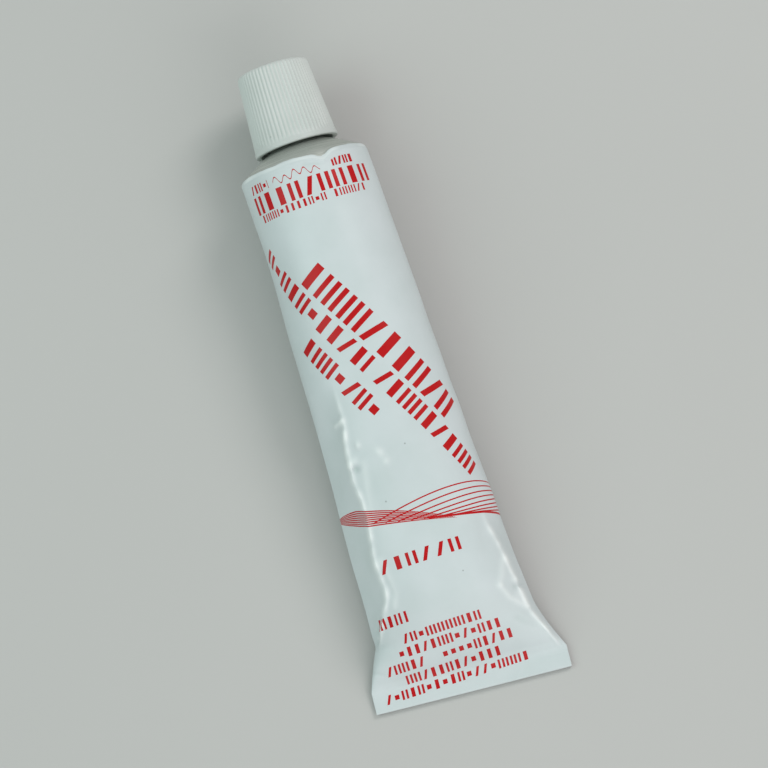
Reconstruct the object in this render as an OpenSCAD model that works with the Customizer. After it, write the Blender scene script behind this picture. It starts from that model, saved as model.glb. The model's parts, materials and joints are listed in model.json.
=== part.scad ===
// A filled, sealed metal squeeze tube that lies on its back, with its tapered screw cap on.
// Millimetres. Z is up, the cap is at +Y, and the floor is at Z = 0.

/* [Sleeve] */
// Diameter of the sleeve at its round end
tube_d = 30; // [24:1:40]
// Length from the shoulder's edge to the folded end
body_len = 126; // [105:1:160]
// How far each edge of the flattened end stops short of half the girth
edge_tuck = 0.85; // [0:0.05:1.5]
// How much of the splay of the flat end the belly already has
belly_share = 0.47; // [0.3:0.01:0.6]
// How evenly the belly widens along the body, where 1 is a straight taper
belly_rate = 1.6; // [1:0.1:2.5]
// Roundness of the belly's section, where 1 is an ellipse and less is boxier
belly_round = 0.8; // [0.65:0.05:1]
// Length over which the filled body comes down to the folded end
close_len = 36; // [26:1:50]
// Length over which the left edge splays to the folded end
left_flare_len = 10; // [7:0.5:18]
// Length over which the right edge splays to the folded end
right_flare_len = 11.5; // [7:0.5:18]
// How late the right edge splays, where 1 is a straight splay
right_flare_rate = 1.5; // [1:0.1:2]

/* [Creases] */
// Width of the flattened panel along the left side
left_panel_w = 6; // [0:0.5:8]
// Where the left panel starts, measured from the shoulder
left_panel_start = 50; // [30:1:70]
// Width of the flattened panel along the right side
right_panel_w = 2.6; // [0:0.2:5]
// Where the right panel starts, measured from the shoulder
right_panel_start = 84; // [60:1:90]
// Length over which a panel fades in or out
panel_fade = 14; // [8:1:20]

/* [Folded end] */
// Width of the folded strip
fold_w = 5; // [3:0.5:8]
// Thickness of the two sheets pressed together
layer_t = 0.3; // [0.2:0.05:0.5]
// Space left between two layers of the fold
layer_gap = 0.1; // [0.05:0.05:0.2]
// Number of layers in the folded strip
layers = 3; // [2:1:4]
// Angle by which the folded end is off square
tail_skew = 4; // [0:0.5:6]

/* [Shoulder and neck] */
// Slope of the shoulder cone
shoulder_slope = 30; // [20:1:35]
// Radius of the rounded edge between sleeve and shoulder
edge_r = 1.5; // [0.5:0.1:2.5]
// Radius of the hollow corner at the foot of the neck
root_r = 0.8; // [0.4:0.1:1.2]
// Diameter of the neck below its thread
neck_d = 10; // [8:0.5:12]
// Height of the thread on the neck
thread_h = 0.6; // [0.4:0.05:0.8]
// Diameter of the sealed mouth's recess
mouth_d = 6.4; // [4:0.2:7]
// Depth of the sealed mouth's recess
mouth_depth = 0.8; // [0.3:0.1:1.5]

/* [Cap] */
// Diameter of the cap at its rim
cap_base_d = 19.6; // [19:0.2:23]
// Diameter of the cap below its rounded top edge
cap_top_d = 16.8; // [16:0.2:18.6]
// Height of the cap
cap_h = 19.2; // [18:0.2:24]
// Radius of the cap's rounded top edge
cap_edge_r = 1; // [0.5:0.1:1.4]
// Height of the plain band at the cap's rim
lip_h = 1; // [0.5:0.1:2]
// How far the plain band stands proud of the fluted wall
lip_out = 0.15; // [0.05:0.05:0.4]
// Clearance between the cap's rim and the shoulder cone
rim_clear = 1.45; // [0.5:0.05:3]
// Thickness of the cap's outer wall
cap_wall = 1.1; // [0.9:0.05:1.3]
// Thickness of the wall of the threaded sleeve in the cap
socket_wall = 1.1; // [0.8:0.1:1.4]
// Clearance between the neck's thread and the cap's socket
thread_clear = 0.3; // [0.2:0.05:0.5]
// Depth of the threaded socket
socket_depth = 11; // [9:0.5:12]
// Clearance between the socket's mouth and the shoulder cone
socket_lift = 0.7; // [0.4:0.05:1.5]
// Thickness of the web that closes the socket
web_t = 1.4; // [1:0.1:2]
// Number of flutes round the cap
flute_count = 58; // [36:2:64]
// Radius of the tool that cuts a flute
flute_r = 0.36; // [0.25:0.01:0.4]
// Depth of a flute
flute_depth = 0.24; // [0.1:0.02:0.3]
// Width of the flat ring round the well in the cap's top
top_ring_w = 0.4; // [0.2:0.1:0.8]
// Diameter of the piercing spike at its foot
spike_d = 3.2; // [2:0.2:4]
// Diameter of the piercing spike at its tip
spike_tip_d = 0.4; // [0.2:0.1:0.8]
// How far the spike's tip stays below the cap's top
spike_inset = 0.6; // [0.2:0.1:1.5]

/* [Sealing disc] */
// Thickness of the sealing disc
disc_t = 1; // [0.6:0.1:1.4]
// Clearance round and on both faces of the disc
disc_clear = 0.05; // [0.02:0.01:0.1]

/* [Hidden] */

// Sides of the sleeve's section, and rings along its length
section_sides = 64;
ring_count = 48;
round_sides = 96;
bend_sides = 32;
flute_sides = 8;
spike_sides = 4;

// Least span that a chord is drawn over
least_span = 0.01;

tube_r = tube_d / 2;
fold_t = layers * layer_t + (layers - 1) * layer_gap;

// The part of the sleeve that is turned in one piece with the shoulder, and the tilt of the
// tube's axis when the rest of the sleeve lies on its back
skirt = 2;
tilt = atan((tube_r - fold_t / 2) / (body_len - skirt));
tail_half = PI * tube_d / 4 - edge_tuck;
fold_start = body_len - fold_w;

edge_run = edge_r * tan((90 - shoulder_slope) / 2);
neck_r = neck_d / 2;
cone_top = (tube_r - neck_r) * tan(shoulder_slope);
root_run = root_r * tan((90 - shoulder_slope) / 2);

cap_base_r = cap_base_d / 2;
cap_top_r = cap_top_d / 2;
rim_y = (tube_r - cap_base_r) * tan(shoulder_slope) + rim_clear;
socket_r = neck_r + thread_h + thread_clear;
socket_inset = (tube_r - socket_r) * tan(shoulder_slope) + socket_lift - rim_y;
neck_top = rim_y + socket_depth - disc_t - 2 * disc_clear;
wall_foot_r = cap_base_r - lip_out;
taper = atan((wall_foot_r - cap_top_r) / (cap_h - cap_edge_r - lip_h));
well_r = cap_top_r - cap_edge_r - top_ring_w;
well_floor = socket_depth + web_t;

// Lengths along the floor, from under the shoulder's edge to both ends
tail_y = -body_len * cos(tilt) + fold_t / 2 * sin(tilt) - tail_half * tan(tail_skew);
cap_y = (rim_y + cap_h - cap_edge_r) * cos(tilt) + (cap_top_r - cap_edge_r) * sin(tilt) + cap_edge_r;
mid_y = (tail_y + cap_y) / 2;

function clamp01(v) = max(0, min(1, v));
function smooth(v) = let (c = clamp01(v)) c * c * (3 - 2 * c);
function mix(a, b, w) = a + (b - a) * w;

// Height of the sleeve's axis above the floor, in a section u along the body
function axis_h(u) = tube_r - (tube_r - fold_t / 2) * (u - skirt) / (body_len - skirt);

// Height of the sleeve above the floor: a straight cylinder that then closes to the fold
function closing(u) = clamp01((fold_start - u) / close_len);
function full_h(u) = tube_r + axis_h(u);
function crest_h(u) = mix(fold_t, full_h(u), 1 - pow(1 - closing(u), 3));

// Half width of the belly, which widens along the body
function belly_w(u) = tube_r
    + (tail_half - tube_r) * belly_share * pow(u / (fold_start - right_flare_len), belly_rate);

// Share of the splay that an edge has made at u, next to the fold
function splay(u, flare_len, rate) = pow(clamp01((u - fold_start + flare_len) / flare_len), rate);
function left_w(u) = mix(belly_w(min(u, fold_start)), tail_half, splay(u, left_flare_len, 1));
function right_w(u) =
    mix(belly_w(min(u, fold_start)), tail_half, splay(u, right_flare_len, right_flare_rate));

// The back leaves the floor next to the fold, because the fold's lower layers lie under it
function back_lift(u) = (fold_t - layer_t) * smooth(splay(u, left_flare_len, 1));

// The left panel narrows to nothing where the left edge begins to splay
function left_narrowing(u) = smooth((fold_start - left_flare_len - u) / panel_fade);

// Strength of a side panel that fades in at one place and out at another
function panel(u, from, to) = smooth((u - from) / panel_fade) * smooth((to - u) / panel_fade);

// Height of the wall at x in a section, where w is the half width and top the crest's height
function arch(x, w, top, round_p) = top * pow(max(0, 1 - pow(x / w, 2)), round_p / 2);
function chord(x, w, top, round_p, inner) =
    arch(inner, w, top, round_p) * (w - abs(x)) / max(least_span, w - inner);
function creased(x, w, top, round_p, inner, strength) = abs(x) <= inner
    ? arch(x, w, top, round_p)
    : mix(arch(x, w, top, round_p), chord(x, w, top, round_p, inner), strength);

// One point of the section u, at the angle a round it
function section_point(u, a) =
    let (
        left = cos(a) < 0,
        w = left ? left_w(u) : right_w(u),
        round_p = mix(1, belly_round, smooth(u / left_panel_start)),
        lift = back_lift(u),
        side_h = min(axis_h(u), (crest_h(u) + lift) / 2),
        x = w * cos(a),
        front = sin(a) >= 0,
        inner = w - (left ? left_panel_w * left_narrowing(u) : right_panel_w),
        strength = left
            ? panel(u, left_panel_start, fold_start)
            : panel(u, right_panel_start, fold_start + panel_fade),
        h = front
            ? side_h + creased(x, w, crest_h(u) - side_h, round_p, inner, strength)
            : side_h - arch(x, w, side_h - lift, round_p),
        v = u + smooth((u - fold_start + close_len) / close_len) * x * tan(tail_skew)
    )
    [x, -v, h - axis_h(v)];

// Rings from the turned skirt to a little way inside the folded strip
loft_end = fold_start + fold_w / 2;
function ring_u(k) = mix(skirt, loft_end, k / (ring_count - 1));

module sleeve_loft() {
    n = section_sides;
    points = [
        for (k = [0:ring_count - 1]) for (i = [0:n - 1]) section_point(ring_u(k), 360 * i / n)
    ];
    walls = [
        for (k = [0:ring_count - 2]) for (i = [0:n - 1])
            let (j = (i + 1) % n)
            [k * n + i, (k + 1) * n + i, (k + 1) * n + j, k * n + j]
    ];
    near_end = [for (i = [0:n - 1]) i];
    far_end = [for (i = [0:n - 1]) ring_count * n - 1 - i];
    polyhedron(points = points, faces = concat([near_end, far_end], walls), convexity = 4);
}

// Arc of points from one angle to another, for the turned outlines
function arc(cx, cy, r, from, to, steps = 8) =
    [for (i = [0:steps]) let (a = mix(from, to, i / steps)) [cx + r * cos(a), cy + r * sin(a)]];

module on_axis() {
    rotate([-90, 0, 0]) children();
}

// Skirt, shoulder cone and neck, turned about the tube's axis
module shoulder_and_neck() {
    lean = 90 - shoulder_slope;
    outline = concat(
        [[0, -skirt], [tube_r, -skirt]],
        arc(tube_r - edge_r, -edge_run, edge_r, 0, lean),
        arc(neck_r + root_r, cone_top + root_run, root_r, 180 + lean, 180),
        [
            [neck_r, neck_top - mouth_depth / 2],
            [neck_r - mouth_depth / 2, neck_top],
            [mouth_d / 2, neck_top],
            [mouth_d / 2 - mouth_depth / 2, neck_top - mouth_depth],
            [0, neck_top - mouth_depth]
        ]
    );
    on_axis() rotate_extrude($fn = round_sides) polygon(outline);
}

// The folded strip seen from its end: layers joined by round bends, alternately at each side
module fold_section() {
    step = layer_t + layer_gap;
    bend_r = layer_t + layer_gap / 2;
    for (k = [0:layers - 1])
        translate([bend_r, k * step]) square([fold_w - 2 * bend_r, layer_t]);
    for (k = [0:layers - 2]) {
        outer_side = (layers - 2 - k) % 2 == 0;
        translate([outer_side ? bend_r : fold_w - bend_r, k * step + bend_r])
            intersection() {
                difference() {
                    circle(r = bend_r, $fn = bend_sides);
                    circle(r = layer_gap / 2, $fn = bend_sides);
                }
                translate([outer_side ? -2 * bend_r : 0, -bend_r]) square(2 * bend_r);
            }
    }
}

module folded_strip() {
    translate([0, -body_len, -fold_t / 2]) rotate([-tilt, 0, 0])
        rotate([0, 0, -tail_skew]) translate([-tail_half, 0, 0])
            rotate([90, 0, 90]) linear_extrude(2 * tail_half) fold_section();
}

// Puts what is built about the tube's own axis on the floor, with the origin under its middle
module lay_down() {
    translate([0, -mid_y, tube_r * cos(tilt) + skirt * sin(tilt)]) rotate([tilt, 0, 0]) children();
}

module tube() {
    color([0.83, 0.86, 0.87]) lay_down() {
        sleeve_loft();
        shoulder_and_neck();
        folded_strip();
    }
}

module cap_outside() {
    outline = concat(
        [[0, 0], [cap_base_r, 0], [cap_base_r, lip_h], [wall_foot_r, lip_h + lip_out]],
        arc(cap_top_r - cap_edge_r, cap_h - cap_edge_r, cap_edge_r, taper, 90),
        [[0, cap_h]]
    );
    rotate_extrude($fn = round_sides) polygon(outline);
}

module flute() {
    translate([wall_foot_r + flute_r - flute_depth, 0, lip_h]) rotate([0, -taper, 0])
        cylinder(r = flute_r, h = cap_h, $fn = flute_sides);
}

module cap() {
    pocket_top_r = mix(wall_foot_r, cap_top_r, socket_depth / cap_h) - cap_wall;
    color([0.8, 0.83, 0.79]) lay_down() translate([0, rim_y, 0]) on_axis() {
        difference() {
            cap_outside();
            for (i = [0:flute_count - 1]) rotate([0, 0, 360 * i / flute_count]) flute();
            translate([0, 0, -1])
                cylinder(r1 = wall_foot_r - cap_wall, r2 = pocket_top_r, h = socket_depth + 1, $fn = round_sides);
            translate([0, 0, well_floor]) cylinder(r = well_r, h = cap_h, $fn = round_sides);
        }
        difference() {
            translate([0, 0, socket_inset])
                cylinder(r = socket_r + socket_wall, h = socket_depth - socket_inset + web_t / 2, $fn = round_sides);
            cylinder(r = socket_r, h = socket_depth, $fn = round_sides);
        }
        translate([0, 0, well_floor - web_t / 2])
            cylinder(
                r1 = spike_d / 2, r2 = spike_tip_d / 2,
                h = cap_h - spike_inset - well_floor + web_t / 2, $fn = spike_sides
            );
    }
}

module cap_disc() {
    color([0.9, 0.9, 0.88]) lay_down() translate([0, neck_top + disc_clear, 0]) on_axis()
        cylinder(r = socket_r - disc_clear, h = disc_t, $fn = round_sides);
}

tube();
cap();
cap_disc();
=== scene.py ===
# %% [markdown]
# # A filled metal squeeze tube with a screw cap
# The object is one soft aluminium tube, full of sealing paste. Its neck, shoulder and sleeve are a
# single piece of metal, the sleeve is lacquered white and printed in red, and the open end was
# pressed flat and folded over after filling. A tapered, fluted plastic cap closes the neck.
#
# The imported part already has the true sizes, the axis of the neck and the cap's joints. It is
# loaded first and never moved, and each finished piece is built around it in the same frame.

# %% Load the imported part
import json
import math

import bpy
import numpy as np
from mathutils import Matrix, Vector

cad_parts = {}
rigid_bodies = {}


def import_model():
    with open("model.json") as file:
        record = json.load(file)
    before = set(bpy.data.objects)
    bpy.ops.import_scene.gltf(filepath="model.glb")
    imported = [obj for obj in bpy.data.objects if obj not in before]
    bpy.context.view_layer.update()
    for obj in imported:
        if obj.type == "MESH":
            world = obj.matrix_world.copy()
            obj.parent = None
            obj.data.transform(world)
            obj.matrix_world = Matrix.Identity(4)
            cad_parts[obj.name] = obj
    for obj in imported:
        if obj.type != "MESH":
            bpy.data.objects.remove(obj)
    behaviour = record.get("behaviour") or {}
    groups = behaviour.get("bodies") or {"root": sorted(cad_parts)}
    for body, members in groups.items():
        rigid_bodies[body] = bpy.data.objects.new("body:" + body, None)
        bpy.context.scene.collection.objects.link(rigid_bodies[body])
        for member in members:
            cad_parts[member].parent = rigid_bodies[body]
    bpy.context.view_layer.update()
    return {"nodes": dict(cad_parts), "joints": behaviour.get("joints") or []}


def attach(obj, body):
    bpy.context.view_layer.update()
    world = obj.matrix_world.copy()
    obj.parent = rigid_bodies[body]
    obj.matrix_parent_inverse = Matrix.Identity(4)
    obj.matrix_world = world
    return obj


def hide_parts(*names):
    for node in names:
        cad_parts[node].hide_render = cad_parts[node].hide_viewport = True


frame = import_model()
joints = {joint["name"]: joint for joint in frame["joints"]}

# %% [markdown]
# ## Working in the tube's own frame
# A tube is easiest to describe about its own axis: x to the right, y along the axis towards the
# cap and z out of the printed front, in millimetres, from the centre of the shoulder's edge. The
# tube lies on its back, so that axis is tilted a little. The cap's hinge gives both the tilt and
# the place, which saves copying them as numbers.

# %% The tube's frame
MM = 0.001
TUBE_R = 15.0
CAP_BASE_R = 9.8
RIM_CLEAR = 1.45
SLOPE = math.radians(30)
CAP_RIM_Y = (TUBE_R - CAP_BASE_R) * math.tan(SLOPE) + RIM_CLEAR

along = Vector(joints["cap_turn"]["axis"]).normalized()
to_right = Vector((1, 0, 0))
to_front = to_right.cross(along)
edge_centre = Vector(joints["cap_turn"]["pos_m"]) / MM - along * CAP_RIM_Y
tilt = math.asin(along.z)

TUBE_AXES = np.array([to_right, along, to_front])
TUBE_PLACE = Matrix.LocRotScale(edge_centre * MM, Matrix(TUBE_AXES).transposed(), (MM, MM, MM))


def to_tube(floor_points):
    """Points in millimetres over the floor, as points in the tube's own frame."""
    return (np.asarray(floor_points) - np.array(edge_centre)) @ TUBE_AXES.T


print("tilt of the axis", round(math.degrees(tilt), 2), "degrees")

# %% [markdown]
# ## Small helpers for shapes
# Forms that swell, fade or blend are written with three little functions. They take single
# numbers as well as whole arrays, so one line shapes every ring of the tube at once.

# %% Shape helpers
def clamp01(value):
    return np.clip(value, 0.0, 1.0)


def smooth(value):
    held = clamp01(value)
    return held * held * (3 - 2 * held)


def mix(a, b, share):
    return a + (b - a) * share


def line(start, end, count):
    """Points from start to just before end, so that the next stretch can begin at end."""
    shares = np.arange(count)[:, None] / count
    return mix(np.array(start, float), np.array(end, float), shares)


def arc(centre, radius, from_deg, to_deg, count):
    """Points of an arc, again without its last one."""
    angle = np.radians(mix(from_deg, to_deg, np.arange(count) / count))
    return np.array(centre) + radius * np.stack([np.cos(angle), np.sin(angle)], axis=1)


print("smooth at a quarter, half and three quarters", smooth(np.array([0.25, 0.5, 0.75])))

# %% [markdown]
# ## One closed mesh from a grid of points
# The tube and the cap are both made as rows of points, one row behind another, each row going
# once round. Extruding and spinning by hand could give the same shapes, but rows keep the faces
# even and bring their own UV maps. The map called sheet holds millimetres on the unrolled surface,
# so that print can be placed with a ruler. The map called OFBake holds the same layout, scaled to
# fill the unit square.

# %% Corners and UV maps
UV_MARGIN = 0.004


def four_corners(grid):
    """The values at the corners of each face between neighbouring rows and columns."""
    return np.stack([grid[:-1, :-1], grid[:-1, 1:], grid[1:, 1:], grid[1:, :-1]], axis=-1)


def fill_unit(values):
    return mix(UV_MARGIN, 1 - UV_MARGIN, (values - values.min()) / np.ptp(values))


def add_uv_map(mesh, name, u_values, v_values):
    layer = mesh.uv_layers.new(name=name)
    layer.data.foreach_set("uv", np.stack([u_values, v_values], axis=1).reshape(-1))


print("faces between 3 rows of 4 points", four_corners(np.zeros((3, 4))).shape[:2])

# %% [markdown]
# The helper joins neighbouring rows with four-sided faces, and closes the first and last row with
# a fan of triangles round its middle. Extra values for each point, such as where a thread runs,
# go onto the mesh as attributes.

# %% Grid to mesh
def mesh_from_rows(name, rows, sheet_q, sheet_v, attributes):
    """rows: points [row, column, xyz]. sheet_q, sheet_v: UV in mm with one column more, for the seam."""
    count, columns = rows.shape[:2]
    grid = np.arange(count * columns).reshape(count, columns)
    grid = np.concatenate([grid, grid[:, :1]], axis=1)
    faces = four_corners(grid).reshape(-1, 4).tolist()
    q = four_corners(sheet_q).reshape(-1).tolist()
    v = four_corners(sheet_v).reshape(-1).tolist()

    first, last = count * columns, count * columns + 1
    for column in range(columns):
        faces.append([first, int(grid[0, column + 1]), int(grid[0, column])])
        q += [sheet_q[0, column], sheet_q[0, column + 1], sheet_q[0, column]]
        v += [sheet_v[0, column]] * 3
        faces.append([last, int(grid[-1, column]), int(grid[-1, column + 1])])
        q += [sheet_q[-1, column], sheet_q[-1, column], sheet_q[-1, column + 1]]
        v += [sheet_v[-1, column]] * 3

    points = np.concatenate([rows.reshape(-1, 3), [rows[0].mean(axis=0)], [rows[-1].mean(axis=0)]])
    mesh = bpy.data.meshes.new(name)
    mesh.from_pydata(points.tolist(), [], faces)
    q, v = np.array(q), np.array(v)
    add_uv_map(mesh, "sheet", q, v)
    add_uv_map(mesh, "OFBake", fill_unit(q), fill_unit(v))
    for attribute_name, values in attributes.items():
        attribute = mesh.attributes.new(attribute_name, "FLOAT", "POINT")
        attribute.data.foreach_set("value", np.append(values.reshape(-1), [0.0, 0.0]))
    mesh.shade_smooth()
    piece = bpy.data.objects.new(name, mesh)
    bpy.context.scene.collection.objects.link(piece)
    return piece


print("objects in the scene so far", len(bpy.context.scene.collection.all_objects))

# %% [markdown]
# A closed mesh has a volume, and its sign tells which way the faces point. Each triangle and the
# origin span a small pyramid, and the pyramids' volumes add up to the whole. It is measured here
# after each mesh is made, because a shape that is inside out looks right and exports wrong.

# %% Volume of a closed mesh
def volume_ml(piece):
    """Volume of a mesh whose points are in millimetres, above zero if its faces point outwards."""
    mesh = piece.data
    mesh.calc_loop_triangles()
    corners = np.zeros(len(mesh.loop_triangles) * 3, int)
    mesh.loop_triangles.foreach_get("vertices", corners)
    points = np.zeros(len(mesh.vertices) * 3)
    mesh.vertices.foreach_get("co", points)
    a, b, c = points.reshape(-1, 3)[corners.reshape(-1, 3)].transpose(1, 0, 2)
    return float((a * np.cross(b, c)).sum() / 6000)


corner_mesh = bpy.data.meshes.new("corner")
corner_mesh.from_pydata([(0, 0, 0), (10, 0, 0), (0, 10, 0), (0, 0, 10)], [],
                        [(0, 2, 1), (0, 1, 3), (0, 3, 2), (1, 2, 3)])
corner_piece = bpy.data.objects.new("corner", corner_mesh)
print("volume of a corner cut off a 10 mm cube", round(volume_ml(corner_piece), 4), "ml")
bpy.data.objects.remove(corner_piece)
bpy.data.meshes.remove(corner_mesh)

# %% [markdown]
# ## Node trees written as sums
# Materials and Geometry Nodes both need arithmetic. The class below wraps one output socket, and
# an ordinary Python expression on it adds the Math nodes. Its method node adds any other kind of
# node: first its settings, then the values or links of its sockets. Two helpers come first. One
# finds a socket by number, identifier or name, the other sets a property or a ramp's stops.

# %% Sockets and settings
def find_socket(sockets, key):
    if isinstance(key, int):
        return sockets[key]
    return next(s for s in sockets if key in (s.identifier, s.name))


def apply_setting(made, name, value):
    if name == "stops":
        ramp = made.color_ramp
        while len(ramp.elements) < len(value):
            ramp.elements.new(0.5)
        for element, (position, level) in zip(ramp.elements, value):
            element.position = position
            element.color = (level, level, level, 1)
    elif name == "interpolation" and hasattr(made, "color_ramp"):
        made.color_ramp.interpolation = value
    else:
        setattr(made, name, value)


trial = bpy.data.node_groups.new("trial", "ShaderNodeTree")
trial_node = trial.nodes.new("ShaderNodeMath")
apply_setting(trial_node, "operation", "POWER")
print("a Math node's sockets", [s.identifier for s in trial_node.inputs], "set to", trial_node.operation)

# %% [markdown]
# The class answers to every operator that the rules below use. The reflected forms, such as
# __rsub__, are what makes 1 - mask work, where the plain number stands first.

# %% The socket wrapper
class Wire:
    """One output socket that can be used in sums."""

    def __init__(self, socket):
        self.socket = socket
        self.tree = socket.id_data

    @classmethod
    def node(cls, tree, kind, settings=None, inputs=None, output=0):
        made = tree.nodes.new(kind)
        for name, value in (settings or {}).items():
            apply_setting(made, name, value)
        for key, value in (inputs or {}).items():
            target = find_socket(made.inputs, key)
            if isinstance(value, Wire):
                tree.links.new(value.socket, target)
            else:
                target.default_value = value
        return None if output is None else cls(find_socket(made.outputs, output))

    def also(self, output):
        """Another output of the same node."""
        return Wire(find_socket(self.socket.node.outputs, output))

    def math(self, operation, *others):
        inputs = dict(enumerate((self, *others)))
        return Wire.node(self.tree, "ShaderNodeMath", {"operation": operation}, inputs)

    def reflected(self, operation, other):
        return Wire.node(self.tree, "ShaderNodeMath", {"operation": operation}, {0: other, 1: self})

    def __add__(self, other):
        return self.math("ADD", other)

    def __radd__(self, other):
        return self.math("ADD", other)

    def __sub__(self, other):
        return self.math("SUBTRACT", other)

    def __rsub__(self, other):
        return self.reflected("SUBTRACT", other)

    def __mul__(self, other):
        return self.math("MULTIPLY", other)

    def __rmul__(self, other):
        return self.math("MULTIPLY", other)

    def __truediv__(self, other):
        return self.math("DIVIDE", other)

    def __rtruediv__(self, other):
        return self.reflected("DIVIDE", other)

    def __pow__(self, other):
        return self.math("POWER", other)

    def __lt__(self, other):
        return self.math("LESS_THAN", other)

    def __gt__(self, other):
        return self.math("GREATER_THAN", other)

    def __abs__(self):
        return self.math("ABSOLUTE")


def held01(wire):
    return wire.math("MAXIMUM", 0.0).math("MINIMUM", 1.0)


before = len(trial.nodes)
held01(1 - Wire.node(trial, "ShaderNodeValue") * 2)
print("nodes added by held01(1 - value * 2)", len(trial.nodes) - before)
bpy.data.node_groups.remove(trial)

# %% [markdown]
# ## The sleeve's section
# A filled tube changes shape along its length. At the shoulder it is a true circle. Further down,
# the paste spreads it into a wider, boxier section, and near the tail the front comes down to the
# flat fold while both edges splay out to nearly half the girth. So each ring is a front arch and
# a back arch on the same half width, and every quantity is a short formula of u, the distance from
# the shoulder's edge. The left edge splays out in a straight line, the right one later and faster.
# Sculpting, or a cloth simulation that presses the tube flat, could give such a shape too. Formulas
# were chosen because each bend can be put where it belongs, and every run gives the same mesh.

# %% Sizes of the sleeve
BODY_LEN = 126.0
FOLD_W = 5.0
FOLD_T = 1.1
LAYER_T = 0.3
SKIRT = 2.0
FOLD_START = BODY_LEN - FOLD_W
TAIL_LOSS = 0.85
TAIL_HALF = math.pi * TUBE_R / 2 - TAIL_LOSS
TAIL_SKEW = math.radians(4)
BELLY_SHARE = 0.47
BELLY_RATE = 1.6
BELLY_ROUND = 0.8
TAIL_ROUND = 0.35
CLOSE_LEN = 36.0
LEFT_FLARE = 10.0
RIGHT_FLARE = 11.5
RIGHT_FLARE_RATE = 1.5
print("folded end", round(2 * TAIL_HALF, 1), "mm wide, shoulder", 2 * TUBE_R, "mm")

# %% [markdown]
# Two creases run down the front towards the corners of the fold, and the whole tube is bent a
# little. Both are listed as places along the tube, read off the photograph with a ruler along
# and across the tube, and everything between the places is interpolated.

# %% Paths of the creases
# Where the two creases run: distance from the shoulder, and distance from the middle of the front
LEFT_CREASE = [
    (50, 9.6), (61, 9.8), (65, 10.8), (69, 11.2), (74, 11.9), (77, 11.2), (82, 11.3), (87, 11.9),
    (91, 12.6), (97, 12.5), (100, 12.2), (104, 14.3), (108, 16.4), (111, 18.2),
]
RIGHT_CREASE = [
    (84, 13.6), (91, 14.1), (95.6, 15.1), (99, 15.6), (102.4, 15.9), (105, 16.4), (111.4, 17.0),
    (115, 18.8), (118.7, 20.4), (121, 21.2),
]
LEFT_CREASE_START, RIGHT_CREASE_START = 50.0, 84.0
FADE = 14.0

# The tube is a little bent: distance from the shoulder, and how far the sleeve lies to the right
BOW = [(-2, 0.0), (15, 0.35), (35, 0.33), (60, 0.33), (75, 0.22), (90, 0.05), (105, -0.08), (121, -0.25)]
print("places on the left crease", len(LEFT_CREASE), "and on the right", len(RIGHT_CREASE))

# %% [markdown]
# Each quantity is now a function of u, which may be one number or a column of them. Heights are
# over the floor side of the tube, and an arch falls from its top in the middle to zero at the
# half width w. A higher roundness makes it a softer hill, a lower one a box with rounded corners.

# %% Heights and widths along the sleeve
def axis_height(u):
    """Height of the tube's axis over the floor."""
    return TUBE_R - (TUBE_R - FOLD_T / 2) * (u - SKIRT) / (BODY_LEN - SKIRT)


def crest_height(u):
    """Height of the middle of the front, with a soft bend where it meets the fold."""
    total = 0
    for shift in (-1.6, -0.8, 0, 0.8, 1.6):
        closing = clamp01((FOLD_START - u - shift) / CLOSE_LEN)
        total = total + mix(FOLD_T, TUBE_R + axis_height(u + shift), 1 - (1 - closing) ** 3)
    return total / 5


def half_width(u, flare, rate):
    belly = BELLY_SHARE * (np.maximum(u, 0) / (FOLD_START - RIGHT_FLARE)) ** BELLY_RATE
    splay = clamp01((u - FOLD_START + flare) / flare) ** rate
    return mix(TUBE_R + (TAIL_HALF - TUBE_R) * belly, TAIL_HALF, splay)


def crease_at(u, crease):
    """The crease's distance from the middle, rounded off between the listed places."""
    places, distances = np.array(crease, float).T
    near = [np.interp(u + shift, places, distances) for shift in (-1.5, -0.75, 0, 0.75, 1.5)]
    return sum(near) / len(near)


def bow(u):
    return np.interp(u, *np.array(BOW).T)


def arch(x, w, top, roundness):
    return top * np.maximum(0, 1 - (x / w) ** 2) ** (roundness / 2)


print("front at 0, 60 and 110 mm is", [round(float(crest_height(u)), 1) for u in (0, 60, 110)], "mm high")

# %% [markdown]
# The creases are where the soft metal has buckled: between a crease and the edge of the tube the
# wall is nearly flat. The formula cuts the arch off with a straight chord there and raises a
# slight bead along the crease, because bent foil stands a little proud on a fold. Two sines
# make the bead uneven.

# %% The buckled front
CREASE_BEAD = 0.42
CREASE_BEAD_W = 0.58


def buckled_front(u, x, w, left, top, roundness):
    """Height of the front over the tube's side, and the height of the bead along the crease."""
    left_on = smooth((u - LEFT_CREASE_START) / FADE) * smooth((FOLD_START - LEFT_FLARE + 2 - u) / 6)
    right_on = smooth((u - RIGHT_CREASE_START) / FADE) * smooth((FOLD_START + 4 - u) / 6)
    on = np.where(left, left_on, right_on)
    inner = np.where(left, crease_at(u, LEFT_CREASE), crease_at(u, RIGHT_CREASE))
    inner = np.minimum(inner, w - 0.05)
    whole = arch(x, w, top, roundness)
    chord = arch(inner, w, top, roundness) * (w - abs(x)) / (w - inner)
    knots = 1 + 0.3 * np.sin(u * 0.83) + 0.25 * np.sin(u * 1.9 + 1)
    bead = CREASE_BEAD * on * knots * np.exp(-(((abs(x) - inner) / CREASE_BEAD_W) ** 2))
    bead *= smooth(top / 3)
    return np.where(abs(x) <= inner, whole, mix(whole, chord, on)), bead


at_crease = buckled_front(80.0, -11.3, 16.0, True, 6.0, BELLY_ROUND)
print("front and bead on the left crease at 80 mm", [round(float(h), 2) for h in at_crease], "mm")

# %% [markdown]
# A section is the front over the side and the back under it. The fold's line leans by a few
# degrees across the tube, so towards the tail the sections are skewed until they run along it.

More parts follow.
